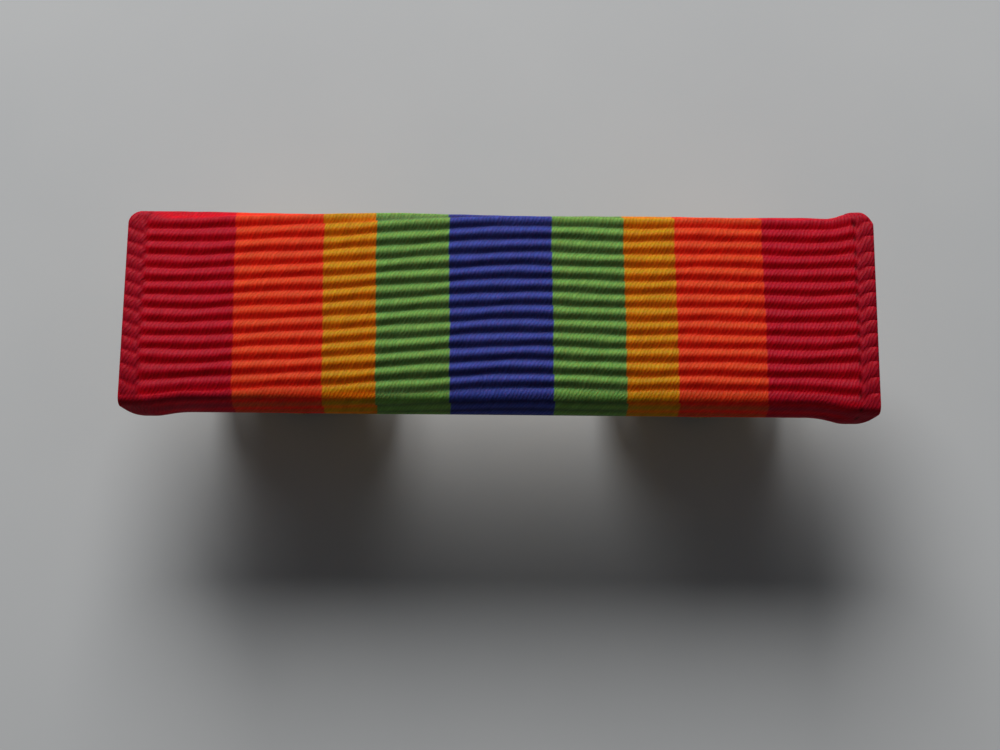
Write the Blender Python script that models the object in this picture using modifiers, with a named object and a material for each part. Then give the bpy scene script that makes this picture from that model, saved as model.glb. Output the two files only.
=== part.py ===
"""Service ribbon bar: a wrapped ribbon on a brass slide, a mounting bar with two pins, and their clutches.

Metres, +X along the bar's length, +Y towards its upper edge, +Z out of the ribbon's face.
The origin is under the middle of the bar, on the plane that the two clutches stand on.
"""

import math

import bmesh
import bpy
from mathutils import Matrix, Vector

MM = 0.001

# Ribbon, and the brass slide that it is wrapped round.
RIBBON_LENGTH = 34.925 * MM
RIBBON_WIDTH = 9.525 * MM
RIBBON_THICKNESS = 0.42 * MM
FABRIC_GAP = 0.04 * MM
SLIDE_LENGTH = 33.9 * MM
SLIDE_SHEET = 0.30 * MM
SLIDE_BEND = 0.16 * MM
RIBBON_BEND = 0.55 * MM
LIP_MOUTH_HALF = 2.95 * MM
TOOTH_REACH = 0.60 * MM
TOOTH_PITCH = 1.50 * MM
NOTCH_RADIUS = 0.62 * MM
NOTCH_Y = 4.00 * MM

# Mounting bar.
BAR_LENGTH = 34.2 * MM
BAR_THICKNESS = 0.55 * MM
BAR_OFFSET = 0.35 * MM
BAR_FLAT_HALF = 2.00 * MM
BAR_CORNER = 0.60 * MM
BAR_BEND = 0.35 * MM
RUNNING_GAP = 0.10 * MM

# Clutch pins.
POST_X = 9.50 * MM
POST_RADIUS = 0.55 * MM
POST_HEAD_RADIUS = 1.90 * MM
POST_HEAD_THICKNESS = 0.35 * MM
POST_HEAD_CHAMFER = 0.08 * MM
POST_HEAD_SHOULDER = 0.12 * MM
POST_FILLET = 0.25 * MM
POST_TIP_Z = 1.00 * MM
POST_TIP_RADIUS = 0.10 * MM
POST_TIP_HEIGHT = 0.08 * MM
POST_TAPER = 1.20 * MM
GROOVE_RADIUS = 0.40 * MM
GROOVE_Z = 3.45 * MM
GROOVE_WIDTH = 0.42 * MM
GROOVE_SLOPE = 0.10 * MM
SOLDER_GAP = 0.02 * MM

# Clutches.
CLUTCH_HEIGHT = 5.60 * MM
CLOTH_GAP = 0.60 * MM
DISC_RADIUS = 4.30 * MM
DISC_THICKNESS = 0.35 * MM
DISC_RIM = 0.60 * MM
RIM_ROUND = 0.75
DISC_HOLE = 0.75 * MM
DISC_FUNNEL = 1.10 * MM
FUNNEL_DEPTH = 0.20 * MM
BEAD_INNER = 2.30 * MM
BEAD_OUTER = 2.90 * MM
BEAD_HEIGHT = 0.10 * MM
BEAD_SLOPE = 0.15 * MM
RIM_WALL = 0.25 * MM
COLLAR_OUTER = 3.90 * MM
COLLAR_MOUTH = 3.40 * MM
COLLAR_DEPTH = 0.90 * MM
COLLAR_CHAMFER = 0.15 * MM
DOME_RADIUS = 3.20 * MM
DOME_WALL = 0.30 * MM
DOME_CORNER = 1.00 * MM
DOME_FLANGE = 3.60 * MM
FLANGE_THICKNESS = 0.25 * MM
CRIMP_GAP = 0.05 * MM
WINDOW_WIDTH = 3.90 * MM
WINDOW_LOW = 2.30 * MM
WINDOW_HIGH = 4.30 * MM

# Wings, in the plane of one wing: distance out from the pin's axis, and height.
WING_THICKNESS = 0.25 * MM
WING_PIVOT = (2.90 * MM, 3.00 * MM)
WING_JAW = (0.30 * MM, 3.50 * MM)
WING_SHOULDER = (3.90 * MM, 2.75 * MM)
WING_TIP = (4.50 * MM, 0.85 * MM)
WING_BEND = 0.45 * MM
JAW_NOTCH = 0.59 * MM
JAW_HALF_WIDTH = 1.10 * MM
WAIST_HALF_WIDTH = 1.60 * MM
PAD_HALF_WIDTH = 2.20 * MM
PAD_WIDENS_BY = 0.50
PAD_ROUNDS_FROM = 0.55
PAD_END_SHARE = 0.35
JAW_STATIONS = 4
LEG_STATIONS = 9

ROUND_STEPS = 32
ARC_STEPS = 4

# Heights, from the clutches up to the ribbon's face.
Z_TOOTH = CLUTCH_HEIGHT + CLOTH_GAP
Z_RIBBON_BACK = Z_TOOTH + SLIDE_SHEET + FABRIC_GAP
Z_LIP = Z_RIBBON_BACK + RIBBON_THICKNESS + FABRIC_GAP
Z_BAR = Z_LIP + SLIDE_SHEET + RUNNING_GAP
Z_WEB = Z_BAR + BAR_THICKNESS + RUNNING_GAP
Z_FACE = Z_WEB + SLIDE_SHEET + FABRIC_GAP + RIBBON_THICKNESS

# Half widths, from the ribbon's edge in to the bar.
SLIDE_HALF = RIBBON_WIDTH / 2 - RIBBON_THICKNESS - FABRIC_GAP
BAR_HALF = SLIDE_HALF - SLIDE_SHEET - RUNNING_GAP

RIBBON_RED = (0.42, 0.015, 0.035, 1.0)
BRASS = (0.66, 0.47, 0.20, 1.0)
NICKEL = (0.62, 0.60, 0.56, 1.0)


def clear_scene():
    for obj in list(bpy.data.objects):
        bpy.data.objects.remove(obj, do_unlink=True)


def new_collection(name, hide_render=False):
    made = bpy.data.collections.new(name)
    made.hide_render = hide_render
    bpy.context.scene.collection.children.link(made)
    return made


def new_material(name, colour, roughness, metallic):
    made = bpy.data.materials.new(name)
    made.use_nodes = True
    shader = made.node_tree.nodes["Principled BSDF"]
    shader.inputs["Base Color"].default_value = colour
    shader.inputs["Roughness"].default_value = roughness
    shader.inputs["Metallic"].default_value = metallic
    return made


def new_object(name, data, collection, material=None, parent=None):
    made = bpy.data.objects.new(name, data)
    collection.objects.link(made)
    if material:
        data.materials.append(material)
    if parent:
        made.parent = parent
    return made


def new_cutter(name, data, matrix=None):
    made = new_object(name, data, CUTTERS)
    made.hide_render = True
    made.display_type = "WIRE"
    if matrix:
        made.matrix_world = matrix
    return made


def new_pivot(name, location):
    """An empty on a joint's axis."""
    made = new_object(name, None, PARTS)
    made.location = location
    made.empty_display_size = 2 * MM
    return made


def shade(mesh):
    mesh.shade_smooth()
    mesh.set_sharp_from_angle(angle=math.radians(35))


def bent_line(points, radius):
    """The line through the points with each corner rounded, as (point, left normal) pairs."""
    points = [Vector(p) for p in points]
    ways = [(b - a).normalized() for a, b in zip(points, points[1:])]
    lefts = [Vector((-w.y, w.x)) for w in ways]
    line = [(points[0], lefts[0])]
    for corner, way_in, way_out, left in zip(points[1:-1], ways, ways[1:], lefts):
        turn = way_in.angle_signed(way_out) * -1
        side = math.copysign(1, turn)
        start = corner - way_in * radius * math.tan(abs(turn) / 2)
        centre = start + left * side * radius
        for step in range(ARC_STEPS + 1):
            normal = Matrix.Rotation(turn * step / ARC_STEPS, 2) @ left
            line.append((centre - normal * side * radius, normal))
    line.append((points[-1], lefts[-1]))
    return line


def strip_outline(points, thickness, radius):
    """The closed outline of a strip of one thickness, bent along the points."""
    line = bent_line(points, radius)
    left = [p + n * thickness / 2 for p, n in line]
    right = [p - n * thickness / 2 for p, n in line]
    return left + right[::-1]


def flat_curve(name, outline, height):
    """A filled flat outline, extruded to both sides of its plane to this height in all."""
    curve = bpy.data.curves.new(name, "CURVE")
    curve.dimensions = "2D"
    curve.fill_mode = "BOTH"
    curve.extrude = height / 2
    spline = curve.splines.new("POLY")
    spline.points.add(len(outline) - 1)
    for point, (u, v) in zip(spline.points, outline):
        point.co = (u, v, 0, 1)
    spline.use_cyclic_u = True
    return curve


# Turns a curve's own X, Y and Z to the world's Y, Z and X: a section that runs along the bar.
ALONG_BAR = Matrix(((0, 0, 1, 0), (1, 0, 0, 0), (0, 1, 0, 0), (0, 0, 0, 1)))


def mesh_of_curve(curve, matrix):
    """The curve's welded mesh, with the matrix applied to its points."""
    holder = new_object(curve.name + "_outline", curve, CUTTERS)
    evaluated = holder.evaluated_get(bpy.context.evaluated_depsgraph_get())
    mesh = bpy.data.meshes.new_from_object(evaluated)
    bpy.data.objects.remove(holder)
    welded = bmesh.new()
    welded.from_mesh(mesh)
    bmesh.ops.remove_doubles(welded, verts=welded.verts, dist=0.001 * MM)
    welded.to_mesh(mesh)
    welded.free()
    mesh.transform(matrix)
    return mesh


def cut(target, cutter, operation="DIFFERENCE"):
    boolean = target.modifiers.new(cutter.name, "BOOLEAN")
    boolean.operation = operation
    boolean.object = cutter


def turned(name, profile, collection, material, parent, closed):
    """A profile of (radius, height) pairs, turned about the object's own Z axis."""
    mesh = bpy.data.meshes.new(name)
    points = [(r, 0, z) for r, z in profile]
    edges = [(i, i + 1) for i in range(len(points) - 1)]
    if closed:
        edges.append((len(points) - 1, 0))
    mesh.from_pydata(points, edges, [])
    made = new_object(name, mesh, collection, material, parent)
    screw = made.modifiers.new("turn", "SCREW")
    screw.steps = screw.render_steps = ROUND_STEPS
    screw.use_merge_vertices = True
    screw.merge_threshold = 0.001 * MM
    return made


def arc(centre, radius, start, end):
    """Points of an arc from one angle to the other, in degrees."""
    return [
        (
            centre[0] + radius * math.cos(math.radians(start + (end - start) * i / ARC_STEPS)),
            centre[1] + radius * math.sin(math.radians(start + (end - start) * i / ARC_STEPS)),
        )
        for i in range(ARC_STEPS + 1)
    ]


def both_sides(half_section):
    """A section's points from one end round to the other, given those of its +Y half, end first."""
    return half_section + [(-y, z) for y, z in reversed(half_section)]


def make_ribbon():
    """The folded ribbon: its face, its two sides and the two runs behind, which end at the slide's hems."""
    half = RIBBON_THICKNESS / 2
    end_y = LIP_MOUTH_HALF + SLIDE_SHEET + FABRIC_GAP
    edge_y = RIBBON_WIDTH / 2 - half
    low_z = Z_RIBBON_BACK + half
    points = both_sides([(end_y, low_z), (edge_y, low_z), (edge_y, Z_FACE - half)])
    outline = strip_outline(points, RIBBON_THICKNESS, RIBBON_BEND)
    mesh = mesh_of_curve(flat_curve("ribbon", outline, RIBBON_LENGTH), ALONG_BAR)
    shade(mesh)
    new_object("ribbon", mesh, PARTS, new_material("red_ribbon", RIBBON_RED, 0.8, 0.0), RIBBON_UNIT)


def make_ribbon_slide():
    """The slide's channel: a web, two walls, two lips, and each lip's edge hemmed down and out into teeth."""
    half = SLIDE_SHEET / 2
    wall_y = SLIDE_HALF - half
    hem_y = LIP_MOUTH_HALF + half
    half_section = [
        (hem_y + TOOTH_REACH, Z_TOOTH + half),
        (hem_y, Z_TOOTH + half),
        (hem_y, Z_LIP + half),
        (wall_y, Z_LIP + half),
        (wall_y, Z_WEB + half),
    ]
    outline = strip_outline(both_sides(half_section), SLIDE_SHEET, SLIDE_BEND)
    mesh = mesh_of_curve(flat_curve("ribbon_slide", outline, SLIDE_LENGTH), ALONG_BAR)
    brass = new_material("slide_brass", BRASS, 0.35, 1.0)
    slide = new_object("ribbon_slide", mesh, PARTS, brass, RIBBON_UNIT)
    cut(slide, tooth_notches())


def tooth_notches():
    """Triangular prisms that leave a row of crimp teeth along each hem."""
    prisms = bmesh.new()
    count = int(SLIDE_LENGTH / TOOTH_PITCH)
    for side, turn in ((1, math.pi), (-1, 0)):
        for i in range(count):
            x = (i - (count - 1) / 2) * TOOTH_PITCH
            place = Matrix.Translation((x, side * NOTCH_Y, Z_TOOTH + SLIDE_SHEET / 2))
            bmesh.ops.create_cone(
                prisms,
                cap_ends=True,
                segments=3,
                radius1=NOTCH_RADIUS,
                radius2=NOTCH_RADIUS,
                depth=SLIDE_SHEET + 0.10 * MM,
                matrix=place @ Matrix.Rotation(turn, 4, "Z"),
            )
    mesh = bpy.data.meshes.new("tooth_notches")
    prisms.to_mesh(mesh)
    prisms.free()
    return new_cutter("tooth_notches", mesh)


def make_mounting_bar():
    """A hat section: two rails that run in the slide's channel, and a web pressed back between them."""
    rail_z = Z_BAR + BAR_THICKNESS / 2
    half_section = [
        (BAR_HALF, rail_z),
        (BAR_FLAT_HALF + BAR_OFFSET, rail_z),
        (BAR_FLAT_HALF, rail_z - BAR_OFFSET),
    ]
    outline = strip_outline(both_sides(half_section), BAR_THICKNESS, BAR_BEND)
    mesh = mesh_of_curve(flat_curve("mounting_bar", outline, BAR_LENGTH), ALONG_BAR)
    bar = new_object("mounting_bar", mesh, PARTS, new_material("bar_brass", BRASS, 0.4, 1.0))

    plan = []
    for cx, cy, start in ((1, 1, 0), (-1, 1, 90), (-1, -1, 180), (1, -1, 270)):
        centre = (cx * (BAR_LENGTH / 2 - BAR_CORNER), cy * (BAR_HALF - BAR_CORNER))
        plan += arc(centre, BAR_CORNER, start, start + 90)
    deep_enough = 2 * (BAR_THICKNESS + BAR_OFFSET)
    rounded = mesh_of_curve(flat_curve("bar_plan", plan, deep_enough), Matrix.Translation((0, 0, rail_z)))
    cut(bar, new_cutter("bar_plan", rounded), "INTERSECT")


def make_post(name, x):
    """A nailhead pin: its head against the bar's back, its grooved shank and point downwards."""
    head_top = Z_BAR - BAR_OFFSET - SOLDER_GAP
    head_low = head_top - POST_HEAD_THICKNESS
    profile = [(0, head_top), (POST_HEAD_RADIUS - POST_HEAD_CHAMFER, head_top)]
    profile.append((POST_HEAD_RADIUS, head_top - POST_HEAD_CHAMFER))
    profile.append((POST_HEAD_RADIUS, head_low + POST_HEAD_SHOULDER))
    profile.append((POST_HEAD_RADIUS - POST_HEAD_SHOULDER, head_low))
    profile += arc((POST_RADIUS + POST_FILLET, head_low - POST_FILLET), POST_FILLET, 90, 180)
    for direction, radius in ((1, POST_RADIUS), (1, GROOVE_RADIUS), (-1, GROOVE_RADIUS), (-1, POST_RADIUS)):
        edge = GROOVE_WIDTH / 2 + (GROOVE_SLOPE if radius == POST_RADIUS else 0)
        profile.append((radius, GROOVE_Z + direction * edge))
    profile.append((POST_RADIUS, POST_TIP_Z + POST_TAPER))
    profile += [(POST_TIP_RADIUS, POST_TIP_Z + POST_TIP_HEIGHT), (0, POST_TIP_Z)]
    post = turned(name, profile, PARTS, new_material(name + "_nickel", NICKEL, 0.3, 1.0), None, closed=False)
    post.location = (x, 0, 0)
    shade(post.data)


def clutch_base_profile():
    """The disc's section, from the funnel hole out over the rim and back along the crimped collar."""
    top = CLUTCH_HEIGHT
    under = top - DISC_THICKNESS
    rim = DISC_THICKNESS * RIM_ROUND
    collar_low = top - COLLAR_DEPTH
    collar_floor = under - 2 * CRIMP_GAP - FLANGE_THICKNESS
    collar_inner = DOME_FLANGE + 2 * CRIMP_GAP
    profile = [(DISC_HOLE, top - FUNNEL_DEPTH), (DISC_FUNNEL, top), (BEAD_INNER, top)]
    profile += [(BEAD_INNER + BEAD_SLOPE, top + BEAD_HEIGHT), (BEAD_OUTER - BEAD_SLOPE, top + BEAD_HEIGHT)]
    profile.append((BEAD_OUTER, top))
    profile += arc((DISC_RADIUS - rim, top - rim), rim, 90, 0)
    profile += [(DISC_RADIUS, top - DISC_RIM), (DISC_RADIUS - RIM_WALL, top - DISC_RIM)]
    profile += [(DISC_RADIUS - RIM_WALL, under), (COLLAR_OUTER, under)]
    profile += [(COLLAR_OUTER, collar_low + COLLAR_CHAMFER), (COLLAR_OUTER - COLLAR_CHAMFER, collar_low)]
    profile += [(COLLAR_MOUTH, collar_low), (COLLAR_MOUTH, collar_floor)]
    profile += [(collar_inner, collar_floor), (collar_inner, under), (DISC_HOLE, under)]
    return profile


def housing_profile():
    """The cap's section, from its inner floor up the inside, over the flange and down the outside."""
    flange_top = CLUTCH_HEIGHT - DISC_THICKNESS - CRIMP_GAP
    flange_low = flange_top - FLANGE_THICKNESS
    inner = DOME_RADIUS - DOME_WALL
    inner_corner = DOME_CORNER - DOME_WALL
    profile = [(0, DOME_WALL)]
    profile += arc((inner - inner_corner, DOME_CORNER), inner_corner, 270, 360)
    profile += [(inner, flange_top), (DOME_FLANGE, flange_top)]
    profile += [(DOME_FLANGE, flange_low), (DOME_RADIUS, flange_low)]
    profile += arc((DOME_RADIUS - DOME_CORNER, DOME_CORNER), DOME_CORNER, 0, -90)
    profile.append((0, 0))
    return profile


def make_wing(name, clutch, x, out, brass):
    """One wing of a clutch. It leans out from the pin towards out, +1 or -1 along X, about its own pivot."""
    pivot = Vector(WING_PIVOT)
    line = bent_line([WING_JAW, WING_PIVOT, WING_SHOULDER, WING_TIP], WING_BEND)
    stations = [Vector(WING_JAW).lerp(pivot, i / JAW_STATIONS) for i in range(JAW_STATIONS)]
    stations += [p for p, _ in line[1:-1]]
    leg_start, leg_end = line[-2][0], Vector(WING_TIP)
    # The stations close up towards the tip, where the outline is round.
    along = [math.sin(math.pi / 2 * (i + 1) / LEG_STATIONS) for i in range(LEG_STATIONS)]
    leg = [leg_start.lerp(leg_end, t) for t in along]
    stations += leg

    def half_width(point):
        """Narrow at the jaw, a waist in the window, wide at the finger pad and round at its end."""
        if point.x <= pivot.x:
            t = (point.x - WING_JAW[0]) / (pivot.x - WING_JAW[0])
            return JAW_HALF_WIDTH + (WAIST_HALF_WIDTH - JAW_HALF_WIDTH) * t
        if point not in leg:
            return WAIST_HALF_WIDTH
        t = (point - leg_start).length / (leg_end - leg_start).length
        widened = WAIST_HALF_WIDTH + (PAD_HALF_WIDTH - WAIST_HALF_WIDTH) * min(1, t / PAD_WIDENS_BY)
        rounding = max(0, (t - PAD_ROUNDS_FROM) / (1 - PAD_ROUNDS_FROM))
        return widened * max(PAD_END_SHARE, math.sqrt(max(0, 1 - rounding**2)))

    grid = bmesh.new()
    rows = []
    for station in stations:
        u, z = station - pivot
        width = half_width(station)
        rows.append([grid.verts.new((out * u, side * width, z)) for side in (1, 0, -1)])
    for near, far in zip(rows, rows[1:]):
        for i in range(2):
            grid.faces.new((near[i], near[i + 1], far[i + 1], far[i]))
    bmesh.ops.recalc_face_normals(grid, faces=grid.faces)
    mesh = bpy.data.meshes.new(name)
    grid.to_mesh(mesh)
    grid.free()

    hinge = new_pivot(name + "_pivot", (out * pivot.x, 0, pivot.y))
    hinge.parent = clutch
    wing = new_object(name, mesh, PARTS, brass, hinge)
    solid = wing.modifiers.new("thickness", "SOLIDIFY")
    solid.thickness = WING_THICKNESS
    solid.offset = 0
    solid.use_even_offset = True
    cut(wing, post_clearance(name, x))


def post_clearance(name, x):
    """A cylinder round a pin that cuts the round notch in a wing's jaw."""
    rod = bmesh.new()
    bmesh.ops.create_cone(
        rod, cap_ends=True, segments=32, radius1=JAW_NOTCH, radius2=JAW_NOTCH, depth=CLUTCH_HEIGHT
    )
    mesh = bpy.data.meshes.new(name + "_notch")
    rod.to_mesh(mesh)
    rod.free()
    return new_cutter(name + "_notch", mesh, Matrix.Translation((x, 0, CLUTCH_HEIGHT / 2)))


def make_window(name, x):
    box = bmesh.new()
    bmesh.ops.create_cube(box, size=1)
    size = (3 * DOME_RADIUS, WINDOW_WIDTH, WINDOW_HIGH - WINDOW_LOW)
    bmesh.ops.scale(box, vec=size, verts=box.verts)
    mesh = bpy.data.meshes.new(name + "_windows")
    box.to_mesh(mesh)
    box.free()
    return new_cutter(name + "_windows", mesh, Matrix.Translation((x, 0, (WINDOW_LOW + WINDOW_HIGH) / 2)))


def make_clutch(side, x):
    clutch = new_pivot("clutch_" + side, (x, 0, 0))
    brass = new_material("clutch_brass_" + side, BRASS, 0.3, 1.0)
    cap = new_material("housing_brass_" + side, BRASS, 0.28, 1.0)
    spring = new_material("wing_brass_" + side, BRASS, 0.32, 1.0)
    base = turned("clutch_base_" + side, clutch_base_profile(), PARTS, brass, clutch, closed=True)
    shade(base.data)
    housing = turned("clutch_housing_" + side, housing_profile(), PARTS, cap, clutch, closed=False)
    shade(housing.data)
    cut(housing, make_window(housing.name, x))
    outward = math.copysign(1, x)
    make_wing(f"clutch_wing_{side}_outer", clutch, x, outward, spring)
    make_wing(f"clutch_wing_{side}_inner", clutch, x, -outward, spring)


clear_scene()
PARTS = new_collection("service_ribbon_bar")
CUTTERS = new_collection("service_ribbon_bar_cutters")
RIBBON_UNIT = new_pivot("ribbon_unit", (0, 0, 0))
make_ribbon()
make_ribbon_slide()
make_mounting_bar()
for side_name, post_x in (("left", -POST_X), ("right", POST_X)):
    make_post("clutch_post_" + side_name, post_x)
    make_clutch(side_name, post_x)
bpy.context.view_layer.update()
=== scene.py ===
"""The looks of a service ribbon bar: a ribbed, striped ribbon on worn brass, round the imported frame."""

import math

import bpy
import numpy as np
from mathutils import Matrix, Vector


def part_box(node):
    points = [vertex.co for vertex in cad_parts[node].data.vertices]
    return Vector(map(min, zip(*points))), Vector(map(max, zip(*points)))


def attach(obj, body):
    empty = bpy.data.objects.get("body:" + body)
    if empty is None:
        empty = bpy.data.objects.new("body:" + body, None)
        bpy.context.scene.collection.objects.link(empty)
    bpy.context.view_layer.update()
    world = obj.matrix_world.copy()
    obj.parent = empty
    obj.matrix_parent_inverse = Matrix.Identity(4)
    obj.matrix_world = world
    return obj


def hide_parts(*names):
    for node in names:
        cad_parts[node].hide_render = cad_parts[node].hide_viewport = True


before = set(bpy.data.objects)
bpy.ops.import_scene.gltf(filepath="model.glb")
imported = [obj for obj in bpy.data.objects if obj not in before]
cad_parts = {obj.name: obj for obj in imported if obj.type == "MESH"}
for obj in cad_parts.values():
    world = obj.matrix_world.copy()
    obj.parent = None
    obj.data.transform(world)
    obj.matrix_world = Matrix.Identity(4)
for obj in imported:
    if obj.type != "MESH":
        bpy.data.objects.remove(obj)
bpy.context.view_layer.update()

MM = 0.001
LEFT, RIGHT = -1, 1

# The folded ribbon's section. Its outer size is the CAD ribbon's, and the folds are measured to mid-cloth.
CLOTH = 0.42 * MM
UPPER_FOLD, LOWER_FOLD = 0.55 * MM, 0.45 * MM
UPPER_CUT_Y, LOWER_CUT_Y = 3.29 * MM, 3.376 * MM
FOLD_STEPS = 24

# The weave. Ribs run along the bar, warp threads run across it, and a plaited edge closes each end.
RIB_PITCH = 0.648 * MM
RIB_HEIGHT = 0.150 * MM
RIB_ROUNDNESS = 1.8
RIB_THICKNESSES = (0.92, 1.05)
RIB_ROWS = 10
COLUMN_PITCH = 0.15 * MM
EDGE_WIDTH = 0.95 * MM
EDGE_COLUMNS = 19
EDGE_CROWDING = 1.25
INSIDE_COLUMNS, INSIDE_END_COLUMNS = 26, (0, 2, 5)
# Between these distances from the end, the plait gives way to the ribs.
EDGE_BLEND = (0.86 * EDGE_WIDTH, 1.02 * EDGE_WIDTH)

# Slow waves along each rib, as (size, radians per mm along the bar, radians per rib). LUMPS change its
# thickness, and WANDER moves it sideways.
LUMPS = ((0.05, 0.9, 2.3), (0.03, 4.3, 5.1))
WANDER = ((0.016 * MM, 1.3, 1.7), (0.008 * MM, 3.1, 2.9))

# How far the ribs drift towards the upper edge along the bar: (mm from the middle, mm of drift).
RIB_DRIFT = (
    (-17.5, -0.81), (-14.3, -0.86), (-11.0, -0.64), (-8.4, -0.53), (-5.0, -0.25), (-2.0, -0.03), (0.0, 0.10),
    (1.8, 0.14), (6.0, 0.02), (9.0, 0.10), (12.0, 0.07), (14.2, 0.03), (16.0, 0.12), (17.5, 0.25),
)
# The cut ends are held straight under the slide's teeth, so the drift fades out over this length there.
HELD_STRAIGHT = 2.2 * MM

# The plaited edge. Each cord of it has a waist. The right end's cords slant over this share of its width.
PLAIT_HEIGHT = 0.13 * MM
PLAIT_FLOOR = 0.36
CORD_ROUNDNESS = 0.8
RIGHT_SLANT = (0.35, 1.05)
WAIST_AT, WAIST_WIDTH = 0.50, 0.11
WAIST_DEPTHS = {LEFT: 0.32, RIGHT: 0.10}
END_ROLL = 0.20 * MM

# The row of pinholes where the ribs turn back. Relief sinks there by these shares, on a rib and in a valley.
PINHOLES_IN = 0.90 * MM
PINHOLE_REACH = 0.09 * MM
PINHOLE_SINKS = (0.25, 0.85)
PINHOLE_FACING = (0.8, 1.0)
# Painted shade in the pinholes, deeper at the right end.
PINHOLE_PAINTED_SHADE = {LEFT: 0.25, RIGHT: 0.70}
PINHOLE_SHARPNESS = 3.0

# The face sinks towards each fold: how deep, how late that sets in, and where it ends past the fold's start.
UPPER_CROWN = (0.10 * MM, 2, (1.1 * UPPER_FOLD, -0.1 * UPPER_FOLD))
LOWER_CROWN = (0.21 * MM, 5.5, (1.5 * MM, 0.5 * MM))
# Past the start of the lower fold, where the ribs spread from and to, and by how much their valleys fill.
SPREAD = (-0.6 * MM, 0.3 * MM)
VALLEY_FILL = 0.92

# Near the end, and where the cloth turns away from up, the relief flattens into one round edge.
CORNER_REACH = (1.9 * MM, 1.1 * MM)
CORNER_FACING = (0.97, 0.85)
CORNER_RELIEF, CORNER_FLATNESS = 0.82, 0.8

# How far each end's corners draw in at the upper and the lower fold. A corner draws in over the first span,
# and gives back a share of that over the second.
CORNER_DRAWS_IN = {LEFT: (0.50 * MM, 0.90 * MM), RIGHT: (0.50 * MM, 0.85 * MM)}
DRAW_REACH = 3 * MM
UPPER_DRAW, UPPER_BACK, UPPER_GIVES = (0.0, 0.75 * MM), (1.3 * MM, 2.6 * MM), 0.6
LOWER_DRAW, LOWER_BACK, LOWER_GIVES = (0.15 * MM, 1.75 * MM), (2.0 * MM, 3.2 * MM), 0.5
UPPER_DRAW_POWER, LOWER_DRAW_POWER = {LEFT: 2.0, RIGHT: 1.2}, 3

# How far each end's upper and lower edges splay past the bar's. The splay grows over these spans: out along
# the bar, across its face from the middle, and up to the face.
EDGE_SPLAYS = {LEFT: (0.0, 0.22 * MM), RIGHT: (0.27 * MM, 0.30 * MM)}
UPPER_SPLAY, UPPER_SPLAY_POWER = (15.5 * MM, 16.9 * MM), 1.3
LOWER_SPLAY = (14.2 * MM, 16.6 * MM)
SPLAY_ACROSS = (2.2 * MM, 4.3 * MM)
SPLAY_DOWN = (2.3 * MM, 1.5 * MM)

# Where each stripe ends, in millimetres from the bar's middle. Each rib carries the edges on by the skew.
STRIPE_ENDS = (-12.31, -8.18, -5.73, -2.33, 2.46, 5.82, 8.20, 12.28)
STRIPE_SKEW = 0.0121
STRIPE_BLUR = 0.03
STRIPE_STEP = 0.03
STRIPE_LEAN = 0.04

# Each stripe's yarn colour as lit on top of a rib, and a painted-shade copy of it for the shaded side of a
# rib and the valleys. In the warm stripes that copy is brighter in red: painted light bounced between the
# ribs.
RED = ((0.34, 0.006, 0.019), (0.60, 0.001, 0.010))
ORANGE = ((0.53, 0.054, 0.011), (0.90, 0.018, 0.007))
YELLOW = ((0.43, 0.21, 0.003), (0.76, 0.15, 0.002))
GREEN = ((0.145, 0.30, 0.058), (0.095, 0.165, 0.048))
BLUE = ((0.038, 0.052, 0.28), (0.022, 0.022, 0.110))
STRIPES = (RED, ORANGE, YELLOW, GREEN, BLUE, GREEN, YELLOW, ORANGE, RED)

# Painted shade: on the face, the valley colour lies on the lower side of each rib, the side turned from the
# light.
# Off it, and less so in the plaited edge, it lies in the grooves.
TONE_FACING = (0.90, 0.99)
SHADED_SIDE_SHIFT = 0.2
TONE_ROUNDNESS = 0.8
EDGE_TONE = 0.4
EDGE_SHADE, EDGE_SHADE_WIDTH = 0.95, 0.80 * MM

# The warp threads: their lean and their waver in threads, and their relief.
THREAD_PITCH = 0.18 * MM
THREAD_LEAN = 1.9
THREAD_WAVER = 1.5
THREAD_RELIEF = 0.014 * MM
FIBRE_STRETCH = (22.0, 3.0, 6.0)
FIBRE_RELIEF = 0.3
# The lowest and the highest brightness of a whole thread, and of the fibres in it.
THREAD_TONES = (0.85, 1.03)
FIBRE_TONES = (0.90, 1.10)
# Painted light on the threads: how much lighter each thread's top and darker the gap beside it is painted, in
# a valley and on a rib, about a profile's mean height.
BEAD_PAINTED_LIGHT = (0.14, 0.24)
MEAN_PROFILE = 0.64
BEAD_TONE = 0.975
RIBBON_ROUGHNESS = (0.42, 0.64)
# Light sinks into the yarn, and red light the furthest.
RIBBON_SHADING = {
    "Specular IOR Level": 0.05,
    "Subsurface Weight": 0.7,
    "Subsurface Radius": (1.4, 0.30, 0.22),
    "Subsurface Scale": 0.18 * MM,
}

BRASS, BRIGHT_BRASS, BAR_BRASS = (0.80, 0.56, 0.24), (0.84, 0.60, 0.26), (0.76, 0.54, 0.25)
SPRING_BRASS, NICKEL = (0.78, 0.58, 0.28), (0.70, 0.67, 0.62)
BRASS_TARNISH, NICKEL_TARNISH = (0.42, 0.25, 0.10), (0.40, 0.36, 0.30)
# The metal's fine lines: how close they are along and across themselves, and what they do to its roughness.
LINES_ALONG, LINES_ACROSS = 90.0, 2600.0
LINE_ROUGHNESS, LINE_RELIEF = 0.08, 0.006 * MM
# How dull a fleck and a stain are, and how much rougher dull metal is.
FLECK_DULLS, STAIN_DULLS, DULL_ROUGHNESS = 0.35, 0.55, 0.22
METAL_EDGE_RADIUS = 0.15 * MM

FACE_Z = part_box("ribbon")[1][2]
CAMERA_ELEVATION = math.radians(75)
CAMERA_DISTANCE = 88 * MM
CAMERA_ROLL = math.radians(0.55)
CAMERA_AIM = Vector((0.02 * MM, -3.28 * MM, FACE_Z))
CAMERA_LENS, CAMERA_SENSOR = 69.2, 36

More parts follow.
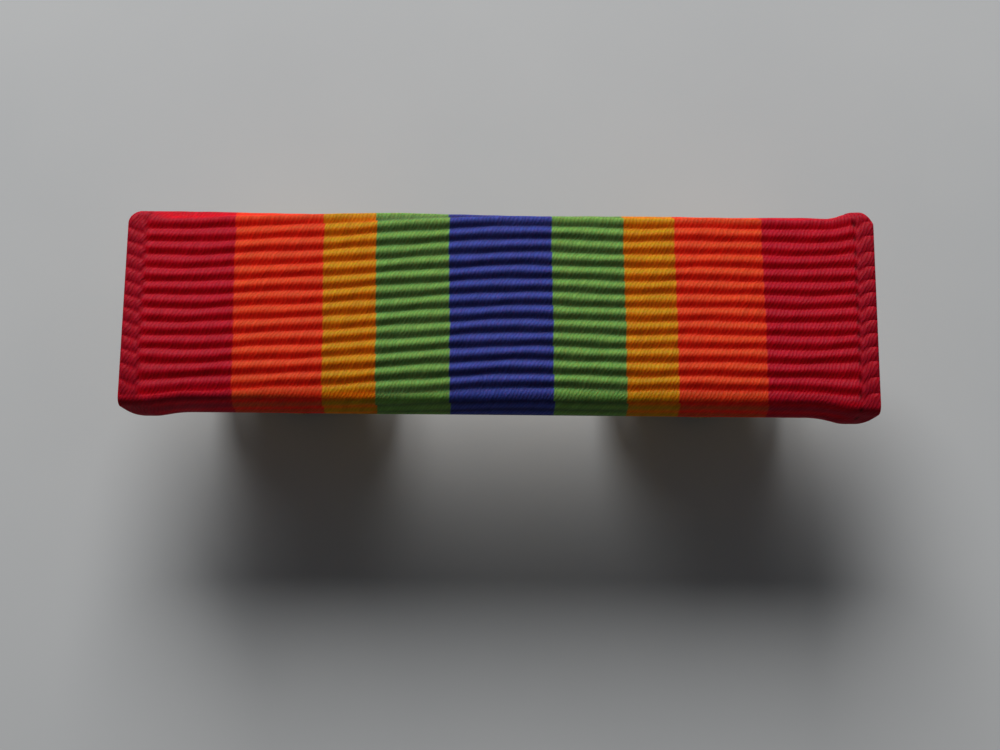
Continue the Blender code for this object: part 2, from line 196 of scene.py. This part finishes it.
KEY_PLACE, KEY_AIM = (-0.04, 0.255, 0.182), (0, 0, FACE_Z)
KEY_SIZE, KEY_POWER, KEY_COLOUR = 0.20, 1.36, (1.0, 0.99, 0.97)
SKY_COLOUR, SKY_STRENGTH = (0.86, 0.90, 0.95, 1), 0.08
FLOOR_REACH = 0.6
FLOOR_COLOURS = ((0.44, 0.455, 0.47, 1), (0.49, 0.50, 0.51, 1))
FLOOR_ROUGHNESS = 0.85


# ---------------------------------------------------------------- shared helpers


def smooth(low, high, value):
    t = np.clip((value - low) / (high - low), 0, 1)
    return t * t * (3 - 2 * t)


def waves(kinds, x, rib):
    return sum(size * np.sin(x / MM * per_mm + rib * per_rib) for size, per_mm, per_rib in kinds)


def mesh_object(name, points, faces):
    mesh = bpy.data.meshes.new(name)
    mesh.from_pydata([tuple(p) for p in points], [], faces)
    mesh.update()
    made = bpy.data.objects.new(name, mesh)
    bpy.context.scene.collection.objects.link(made)
    return made


def add(tree, kind, inputs=None, **settings):
    """A shader node with its settings, and its inputs given as values or as other nodes' sockets."""
    node = tree.nodes.new(kind)
    for key, value in settings.items():
        setattr(node, key, value)
    for key, value in (inputs or {}).items():
        if isinstance(value, bpy.types.NodeSocket):
            tree.links.new(value, node.inputs[key])
        else:
            node.inputs[key].default_value = value
    return node


def calc(tree, operation, *values, clamp=False):
    node = add(tree, "ShaderNodeMath", dict(enumerate(values)), operation=operation, use_clamp=clamp)
    return node.outputs[0]


def between(tree, share, low, high):
    """low where the share is 0 and high where it is 1."""
    return calc(tree, "MULTIPLY_ADD", share, high - low, low)


def noise(tree, place, scale, detail):
    node = add(tree, "ShaderNodeTexNoise", {"Vector": place, "Scale": scale, "Detail": detail})
    return node.outputs["Fac"]


def scaled(tree, place, factors):
    node = add(tree, "ShaderNodeVectorMath", {0: place, 1: factors}, operation="MULTIPLY")
    return node.outputs[0]


def ramp(tree, value, low, high):
    """0 up to low, 1 from high, and a straight line between."""
    return add(tree, "ShaderNodeMapRange", {"Value": value, "From Min": low, "From Max": high}).outputs[0]


def mixed(tree, factor, a, b, blend="MIX"):
    node = add(tree, "ShaderNodeMix", {0: factor, 6: a, 7: b}, data_type="RGBA", blend_type=blend)
    return node.outputs[2]


def new_material(name):
    """(the material, its node tree, its Principled shader)"""
    made = bpy.data.materials.new(name)
    made.use_nodes = True
    tree = made.node_tree
    return made, tree, tree.nodes["Principled BSDF"]


def wire_up(tree, shader, **sockets):
    for key, socket in sockets.items():
        tree.links.new(socket, shader.inputs[key.replace("_", " ")])


# ---------------------------------------------------------------- camera, light and floor


def make_camera():
    data = bpy.data.cameras.new("camera")
    data.lens = CAMERA_LENS
    data.sensor_width = CAMERA_SENSOR
    data.clip_start = 1 * MM
    camera = bpy.data.objects.new("camera", data)
    bpy.context.scene.collection.objects.link(camera)
    back = Vector((0, -math.cos(CAMERA_ELEVATION), math.sin(CAMERA_ELEVATION)))
    camera.location = CAMERA_AIM + back * CAMERA_DISTANCE
    turn = Matrix.Rotation(math.pi / 2 - CAMERA_ELEVATION, 4, "X") @ Matrix.Rotation(CAMERA_ROLL, 4, "Z")
    camera.rotation_euler = turn.to_euler()
    bpy.context.scene.camera = camera


def make_light():
    data = bpy.data.lights.new("key", "AREA")
    data.shape = "DISK"
    data.size = KEY_SIZE
    data.energy = KEY_POWER
    data.color = KEY_COLOUR
    light = bpy.data.objects.new("key", data)
    bpy.context.scene.collection.objects.link(light)
    light.location = KEY_PLACE
    way = Vector(KEY_AIM) - Vector(KEY_PLACE)
    light.rotation_euler = way.to_track_quat("-Z", "Y").to_euler()


def make_sky():
    world = bpy.data.worlds.new("studio")
    world.use_nodes = True
    background = world.node_tree.nodes["Background"]
    background.inputs["Color"].default_value = SKY_COLOUR
    background.inputs["Strength"].default_value = SKY_STRENGTH
    bpy.context.scene.world = world
    bpy.context.scene.view_settings.view_transform = "Standard"


def make_floor():
    corners = [(x * FLOOR_REACH, y * FLOOR_REACH, 0) for x, y in ((-1, -1), (1, -1), (1, 1), (-1, 1))]
    floor = mesh_object("floor", corners, [(0, 1, 2, 3)])
    material, tree, shader = new_material("floor_paint")
    cloud = noise(tree, add(tree, "ShaderNodeTexCoord").outputs["Object"], scale=90.0, detail=4.0)
    wire_up(tree, shader, Base_Color=mixed(tree, cloud, *FLOOR_COLOURS))
    shader.inputs["Roughness"].default_value = FLOOR_ROUGHNESS
    floor.data.materials.append(material)


# ---------------------------------------------------------------- the ribbon's shape


def folded_section():
    """The ribbon's middle line round the bar, from one cut end to the other: lengths, points and normals."""
    low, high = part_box("ribbon")
    edge, top, under = high[1] - CLOTH / 2, high[2] - CLOTH / 2, low[2] + CLOTH / 2
    corners = [
        Vector((UPPER_CUT_Y, under)), Vector((edge, under)), Vector((edge, top)),
        Vector((-edge, top)), Vector((-edge, under)), Vector((-LOWER_CUT_Y, under)),
    ]
    points, normals = [corners[0]], [Vector((0, -1))]
    for before, corner, after in zip(corners, corners[1:], corners[2:]):
        way_in, way_out = (corner - before).normalized(), (after - corner).normalized()
        radius = UPPER_FOLD if corner.x > 0 else LOWER_FOLD
        centre = corner - way_in * radius + way_out * radius
        for step in range(FOLD_STEPS + 1):
            angle = math.pi / 2 * step / FOLD_STEPS
            normal = -way_out * math.cos(angle) + way_in * math.sin(angle)
            points.append(centre + normal * radius)
            normals.append(normal)
    points.append(corners[-1])
    normals.append(Vector((0, -1)))
    points, normals = np.array(points), np.array(normals)
    length = np.concatenate([[0], np.cumsum(np.linalg.norm(np.diff(points, axis=0), axis=1))])
    return length, points, normals


SECTION = folded_section()
CUT_LENGTH = SECTION[0][-1]
# From the middle of the face to where its upper and its lower fold begin.
TO_UPPER, TO_LOWER = (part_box("ribbon")[1][1] - CLOTH / 2 - fold for fold in (UPPER_FOLD, LOWER_FOLD))


def on_section(along):
    """Points and outward normals of the folded middle line at these lengths."""
    length, points, normals = SECTION
    place = np.stack([np.interp(along, length, points[:, i]) for i in range(2)], axis=-1)
    normal = np.stack([np.interp(along, length, normals[:, i]) for i in range(2)], axis=-1)
    return place, normal / np.linalg.norm(normal, axis=-1, keepdims=True)


def drift(x):
    """How far the ribs have drifted towards the upper edge, at x along the bar."""
    at, by = np.array(RIB_DRIFT).T * MM
    # Averaging neighbours over 1.6 mm rounds the corners between the points.
    steps = np.linspace(-0.8, 0.8, 9) * MM
    return sum(np.interp(x + step, at, by) for step in steps) / len(steps)


def draw_in(past, span, power, back_span, gives_back):
    """The share of its full draw that a corner has this far past the start of its fold."""
    drawn = np.clip((past - span[0]) / (span[1] - span[0]), 0, 1) ** power
    return drawn * (1 - gives_back * smooth(*back_span, past))


def end_retreat(side, along):
    """How far this end of the ribbon draws in as it goes round the upper and the lower fold."""
    # Both are counted from where the upper fold begins, on their own side of the face.
    past_upper = CUT_LENGTH / 2 - along - TO_UPPER
    past_lower = along - CUT_LENGTH / 2 - TO_UPPER
    upper = draw_in(past_upper, UPPER_DRAW, UPPER_DRAW_POWER[side], UPPER_BACK, UPPER_GIVES)
    lower = draw_in(past_lower, LOWER_DRAW, LOWER_DRAW_POWER, LOWER_BACK, LOWER_GIVES)
    upper_in, lower_in = CORNER_DRAWS_IN[side]
    return upper_in * upper + lower_in * lower


def end_splay(side, x, y, z):
    """How far this end of the ribbon splays past the bar's edge. It stays put behind."""
    upper, lower = EDGE_SPLAYS[side]
    out = side * x
    near_edge = smooth(*SPLAY_ACROSS, np.abs(y)) * smooth(*(FACE_Z - down for down in SPLAY_DOWN), z)
    rise = np.clip((out - UPPER_SPLAY[0]) / (UPPER_SPLAY[1] - UPPER_SPLAY[0]), 0, 1) ** UPPER_SPLAY_POWER
    return np.where(y > 0, upper * rise, -lower * smooth(*LOWER_SPLAY, out)) * near_edge


def plait(across, ribs, side):
    """Relief of the plaited edge, 0 to 1. across is 0 at the very end and 1 where the ribs begin.

    Each cord turns back from the valley between two ribs, and is level with a rib at the very end. It slants
    evenly on the left. On the right it slants over RIGHT_SLANT only.
    """
    slant = across if side == LEFT else smooth(*RIGHT_SLANT, across)
    cord = np.abs(np.sin(math.pi * (ribs - 0.5 * slant))) ** CORD_ROUNDNESS
    waist = np.exp(-(((across - WAIST_AT) / WAIST_WIDTH) ** 2)) * WAIST_DEPTHS[side]
    return (PLAIT_FLOOR + (1 - PLAIT_FLOOR) * cord) * (1 - waist)


def ribbon_columns(half):
    """Each column's distance from the bar's middle, with finer ones in the plaited ends."""
    body = half - EDGE_WIDTH
    inner = np.linspace(-body, body, int(2 * body / COLUMN_PITCH) + 1)
    edge = np.linspace(0, 1, EDGE_COLUMNS + 1)[1:]
    edge = body + EDGE_WIDTH * (1 - (1 - edge) ** EDGE_CROWDING)
    return np.concatenate([-edge[::-1], inner, edge])


def weave_relief(x, rib, from_end, in_edge, facing_up):
    """Relief of the outside, 0 to 1: ribs, plaited ends, pinholes, and one round edge at each corner."""
    random = np.random.default_rng(7)
    rib_count = int(rib.max())
    index = np.minimum(rib.astype(int), rib_count - 1)
    thickness = random.uniform(*RIB_THICKNESSES, rib_count)[index]
    ribs = np.abs(np.sin(np.pi * rib)) ** RIB_ROUNDNESS * thickness * (1 + waves(LUMPS, x, index))
    across = from_end / EDGE_WIDTH
    plaits = np.where(x < 0, plait(across, rib, LEFT), plait(across, rib, RIGHT)) * PLAIT_HEIGHT / RIB_HEIGHT
    relief = ribs * (1 - in_edge) + plaits * in_edge
    # The pinholes are on the face only.
    at_hole = np.exp(-(((from_end - PINHOLES_IN) / PINHOLE_REACH) ** 2)) * smooth(*PINHOLE_FACING, facing_up)
    on_rib, in_valley = PINHOLE_SINKS
    relief *= 1 - at_hole * (on_rib + (in_valley - on_rib) * np.cos(np.pi * rib) ** 2)
    at_corner = smooth(*CORNER_FACING, facing_up) * smooth(*CORNER_REACH, from_end)
    return relief + (CORNER_RELIEF - relief) * CORNER_FLATNESS * at_corner


def crown_to(to_fold, off_middle, depth, power, fade):
    return depth * np.clip(off_middle / to_fold, 0, 1) ** power * smooth(*fade, off_middle - to_fold)


def crown(along):
    """How far the face sinks towards its folds: gently to the upper one, late and steeply to the lower."""
    off_middle = np.abs(along - CUT_LENGTH / 2)
    upper = crown_to(TO_UPPER, off_middle, *UPPER_CROWN)
    lower = crown_to(TO_LOWER, off_middle, *LOWER_CROWN)
    return np.where(along < CUT_LENGTH / 2, upper, lower)


def zip_strip(one, one_at, other, other_at):
    """Triangles between two rows of vertices whose places along the strip are given."""
    faces, i, j = [], 0, 0
    while i < len(one) - 1 or j < len(other) - 1:
        if j == len(other) - 1 or (i < len(one) - 1 and one_at[i + 1] <= other_at[j + 1]):
            faces.append((one[i], one[i + 1], other[j]))
            i += 1
        else:
            faces.append((one[i], other[j + 1], other[j]))
            j += 1
    return faces


def cloth_faces(outer_id, inner_id, columns, picked):
    """Faces of the outside and the inside, and strips along the two cut ends."""
    faces = []
    for ids, flip in ((outer_id, False), (inner_id, True)):
        quads = np.stack([ids[:-1, :-1], ids[1:, :-1], ids[1:, 1:], ids[:-1, 1:]], axis=-1).reshape(-1, 4)
        faces += (quads[:, ::-1] if flip else quads).tolist()
    for end, flip in ((0, False), (-1, True)):
        strip = zip_strip(inner_id[:, end], columns[picked], outer_id[:, end], columns)
        faces += [tuple(int(v) for v in (f[::-1] if flip else f)) for f in strip]
    # A strip starts and ends in a corner that both sides share, so its first and last triangles are empty.
    return [f for f in faces if len(set(f)) == len(f)]


def make_ribbon():
    """One closed cloth: a ribbed and plaited outside, a plain inside, and its four edges."""
    low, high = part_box("ribbon")
    half = (high[0] - low[0]) / 2
    columns = ribbon_columns(half)
    rib_count = int(round(CUT_LENGTH / RIB_PITCH))
    turn = np.linspace(0, math.pi, RIB_ROWS + 1)[:-1]
    in_rib = (1 - np.cos(turn)) / 2
    ribs = np.append((np.arange(rib_count)[:, None] + in_rib[None, :]).ravel(), rib_count)
    x, rib = np.meshgrid(columns, ribs, indexing="ij")
    row = rib * CUT_LENGTH / rib_count
    free = smooth(0, HELD_STRAIGHT, row) * smooth(0, HELD_STRAIGHT, CUT_LENGTH - row)
    along = row - (drift(columns)[:, None] + waves(WANDER, x, rib)) * free

    place, normal = on_section(along)
    from_end = half - np.abs(x)
    in_edge = 1 - smooth(*EDGE_BLEND, from_end)
    relief = weave_relief(x, rib, from_end, in_edge, normal[..., 1])
    low_by = (1 - relief) * (1 - VALLEY_FILL * smooth(*SPREAD, along - CUT_LENGTH / 2 - TO_LOWER))
    # The very end rolls down to the middle of the cloth.
    roll = np.sqrt(np.clip(1 - (1 - np.clip(from_end / END_ROLL, 0, 1)) ** 2, 0, 1))
    lift = (CLOTH / 2 - RIB_HEIGHT * low_by - crown(along)) * roll

    retreat = np.where(x < 0, end_retreat(LEFT, along), end_retreat(RIGHT, along))
    long = x * (1 - retreat * smooth(half - DRAW_REACH, half, np.abs(x)) / half)
    y, z = np.moveaxis(place, 2, 0)
    place[..., 0] += np.where(x < 0, end_splay(LEFT, x, y, z), end_splay(RIGHT, x, y, z))
    outer = np.dstack([long, place + normal * lift[..., None]])

    # The inside follows the outside's rows with a few columns only, because it lies against the slide.
    last, near_end = len(columns) - 1, np.array(INSIDE_END_COLUMNS)
    picked = np.round(np.linspace(0, last, INSIDE_COLUMNS)).astype(int)
    picked = np.unique(np.concatenate([near_end, picked, last - near_end]))
    sink = -CLOTH / 2 * roll[picked]
    # The first and the last inside column are the outside's own end rows, so the ends are closed.
    inner = np.dstack([long[picked], place[picked] + normal[picked] * sink[..., None]])[1:-1]

    outer_id = np.arange(outer[..., 0].size).reshape(outer.shape[:2])
    inner_id = outer_id.size + np.arange(inner[..., 0].size).reshape(inner.shape[:2])
    inner_id = np.concatenate([outer_id[:1], inner_id, outer_id[-1:]])
    points = np.concatenate([outer.reshape(-1, 3), inner.reshape(-1, 3)])
    ribbon = mesh_object("ribbon_cloth", points, cloth_faces(outer_id, inner_id, columns, picked))

    # Where each vertex is in the weave, for the material: mm along the bar, rib number, mm from the end.
    weave = np.dstack([x / MM, rib, from_end / MM])
    weave = np.concatenate([weave.reshape(-1, 3), weave[picked][1:-1].reshape(-1, 3)])
    attribute = ribbon.data.attributes.new("weave", "FLOAT_VECTOR", "POINT")
    attribute.data.foreach_set("vector", weave.astype(np.float32).ravel())
    # Painted shade: 1 where the yarn's lit rib colour shows, and 0 where its shaded valley colour does.
    on_face = smooth(*TONE_FACING, normal[..., 1]) * (1 - in_edge)
    tone = relief**TONE_ROUNDNESS * (1 - on_face) + np.sin(np.pi * (rib + SHADED_SIDE_SHIFT)) ** 2 * on_face
    tone += (1 - tone) * EDGE_TONE * in_edge
    tone = np.concatenate([tone.ravel(), np.zeros(inner[..., 0].size)])
    attribute = ribbon.data.attributes.new("tone", "FLOAT", "POINT")
    attribute.data.foreach_set("value", tone.astype(np.float32))

    ribbon.data.shade_smooth()
    ribbon.data.materials.append(ribbon_material())
    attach(ribbon, "ribbon_unit")
    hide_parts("ribbon")


# ---------------------------------------------------------------- the ribbon's material


def striped(tree, where):
    """The yarn's lit colour on a rib and its painted-shade colour in a valley, at this place across the
    stripes, which is in millimetres.
    """
    on_rib, in_valley = ((*tone, 1) for tone in STRIPES[0])
    for end, (crest, valley) in zip(STRIPE_ENDS, STRIPES[1:]):
        past = ramp(tree, where, end - STRIPE_BLUR, end + STRIPE_BLUR)
        on_rib = mixed(tree, past, on_rib, (*crest, 1))
        in_valley = mixed(tree, past, in_valley, (*valley, 1))
    return on_rib, in_valley


def pinholes(tree, x, rib, from_end):
    """How much painted shade a pinhole puts on the cloth here. There is one in each valley, where the ribs
    turn back.
    """
    off_hole = calc(tree, "SUBTRACT", from_end, PINHOLES_IN / MM)
    off_hole = calc(tree, "DIVIDE", off_hole, PINHOLE_REACH / MM)
    hole = calc(tree, "EXPONENT", calc(tree, "MULTIPLY", calc(tree, "MULTIPLY", off_hole, off_hole), -1.0))
    in_valley = calc(tree, "ABSOLUTE", calc(tree, "COSINE", calc(tree, "MULTIPLY", rib, math.pi)))
    hole = calc(tree, "MULTIPLY", hole, calc(tree, "POWER", in_valley, PINHOLE_SHARPNESS))
    on_right = calc(tree, "GREATER_THAN", x, 0.0)
    darkness = between(tree, on_right, PINHOLE_PAINTED_SHADE[LEFT], PINHOLE_PAINTED_SHADE[RIGHT])
    return calc(tree, "MULTIPLY", hole, darkness)


def ribbon_material():
    material, tree, shader = new_material("ribbed_satin")
    weave = add(tree, "ShaderNodeAttribute", attribute_name="weave").outputs["Vector"]
    x, rib, from_end = add(tree, "ShaderNodeSeparateXYZ", {0: weave}).outputs
    tone = add(tree, "ShaderNodeAttribute", attribute_name="tone").outputs["Fac"]
    in_rib = calc(tree, "FRACT", rib)
    rib_number = calc(tree, "FLOOR", rib)

    # Warp threads lean a little as they cross each rib.
    lean = calc(tree, "MULTIPLY", in_rib, THREAD_LEAN)
    thread = calc(tree, "ADD", calc(tree, "DIVIDE", x, THREAD_PITCH / MM), lean)
    waver = calc(tree, "MULTIPLY", noise(tree, weave, scale=1.7, detail=2.0), THREAD_WAVER)
    thread = calc(tree, "ADD", thread, waver)
    profile = calc(tree, "ABSOLUTE", calc(tree, "SINE", calc(tree, "MULTIPLY", thread, math.pi)))

    # Each stripe's edge steps a little from rib to rib.
    step = add(tree, "ShaderNodeTexWhiteNoise", {"W": rib_number}, noise_dimensions="1D").outputs["Value"]
    shift = between(tree, step, -STRIPE_STEP, STRIPE_STEP)
    skew = calc(tree, "MULTIPLY_ADD", rib, -STRIPE_SKEW, STRIPE_SKEW * CUT_LENGTH / RIB_PITCH / 2)
    off = calc(tree, "ADD", skew, calc(tree, "ADD", shift, x))
    on_rib, in_valley = striped(tree, calc(tree, "MULTIPLY_ADD", in_rib, STRIPE_LEAN, off))
    # The valley colour on each rib's shaded side and in the grooves is painted shade.
    yarn_with_painted_shade = mixed(tree, tone, in_valley, on_rib)

    # Threads differ a little from each other, and from rib to rib.
    thread_number = add(tree, "ShaderNodeCombineXYZ", {0: calc(tree, "FLOOR", thread), 1: rib_number})
    own = add(tree, "ShaderNodeTexWhiteNoise", {"Vector": thread_number.outputs[0]}, noise_dimensions="2D")
    fibre = noise(tree, scaled(tree, weave, FIBRE_STRETCH), scale=1.0, detail=3.0)
    bright = between(tree, own.outputs["Value"], *THREAD_TONES)
    bright = calc(tree, "MULTIPLY", bright, between(tree, fibre, *FIBRE_TONES))
    # Painted highlights on the threads' tops and painted shade between them, strongest along the lit top of
    # each rib.
    off_mean = calc(tree, "SUBTRACT", profile, MEAN_PROFILE)
    painted_beads = calc(tree, "MULTIPLY_ADD", off_mean, between(tree, tone, *BEAD_PAINTED_LIGHT), BEAD_TONE)
    shade = calc(tree, "MULTIPLY", bright, painted_beads)
    in_edge = calc(tree, "LESS_THAN", from_end, EDGE_SHADE_WIDTH / MM)
    shade = calc(tree, "MULTIPLY", shade, between(tree, in_edge, 1.0, EDGE_SHADE))
    # Painted shade in the pinholes.
    shade = calc(tree, "MULTIPLY", shade, calc(tree, "SUBTRACT", 1.0, pinholes(tree, x, rib, from_end)))
    grey = add(tree, "ShaderNodeCombineXYZ", {0: shade, 1: shade, 2: shade}).outputs[0]
    colour = mixed(tree, 1.0, yarn_with_painted_shade, grey, "MULTIPLY")

    height = calc(tree, "ADD", profile, calc(tree, "MULTIPLY", fibre, FIBRE_RELIEF))
    bump = add(tree, "ShaderNodeBump", {"Height": height, "Strength": 1.0, "Distance": THREAD_RELIEF})
    rough = between(tree, fibre, *RIBBON_ROUGHNESS)
    wire_up(tree, shader, Base_Color=colour, Roughness=rough, Normal=bump.outputs["Normal"])
    for key, value in RIBBON_SHADING.items():
        shader.inputs[key].default_value = value
    return material


# ---------------------------------------------------------------- metal


def metal(name, colour, tarnish, roughness, along):
    """Pressed and polished metal: fine lines along one axis, cloudy tarnish, and small dull spots."""
    material, tree, shader = new_material(name)
    place = add(tree, "ShaderNodeTexCoord").outputs["Object"]
    stretch = [LINES_ALONG if axis == along else LINES_ACROSS for axis in "XYZ"]
    lines = noise(tree, scaled(tree, place, stretch), scale=6.0, detail=4.0)
    stain = ramp(tree, noise(tree, place, scale=420.0, detail=6.0), low=0.42, high=0.68)
    fleck = ramp(tree, noise(tree, place, scale=2600.0, detail=3.0), low=0.60, high=0.70)
    stained = calc(tree, "MULTIPLY", stain, STAIN_DULLS)
    dull = calc(tree, "MULTIPLY_ADD", fleck, FLECK_DULLS, stained, clamp=True)
    base = mixed(tree, dull, (*colour, 1), (*tarnish, 1))
    rough = between(tree, lines, roughness - LINE_ROUGHNESS, roughness + LINE_ROUGHNESS)
    rough = calc(tree, "MULTIPLY_ADD", dull, DULL_ROUGHNESS, rough)
    # A bevelled normal rounds the edges and the facets of the turned parts.
    rounded = add(tree, "ShaderNodeBevel", {"Radius": METAL_EDGE_RADIUS}, samples=8).outputs["Normal"]
    relief = {"Height": lines, "Strength": 0.25, "Distance": LINE_RELIEF, "Normal": rounded}
    bump = add(tree, "ShaderNodeBump", relief)
    wire_up(tree, shader, Base_Color=base, Roughness=rough, Normal=bump.outputs["Normal"])
    shader.inputs["Metallic"].default_value = 1.0
    return material


def finish_metal_nodes():
    cap = metal("bright_brass", BRIGHT_BRASS, BRASS_TARNISH, roughness=0.24, along="Z")
    finishes = {
        "ribbon_slide": metal("pressed_brass", BRASS, BRASS_TARNISH, roughness=0.34, along="X"),
        "mounting_bar": metal("rolled_brass", BAR_BRASS, BRASS_TARNISH, roughness=0.38, along="X"),
        "clutch_post": metal("nickel_plate", NICKEL, NICKEL_TARNISH, roughness=0.26, along="Z"),
        "clutch_base": cap,
        "clutch_housing": cap,
        "clutch_wing": metal("spring_brass", SPRING_BRASS, BRASS_TARNISH, roughness=0.30, along="Y"),
    }
    for name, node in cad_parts.items():
        for start, finish in finishes.items():
            if name.startswith(start):
                for slot in node.material_slots:
                    slot.material = finish


make_camera()
make_light()
make_sky()
make_floor()
make_ribbon()
finish_metal_nodes()
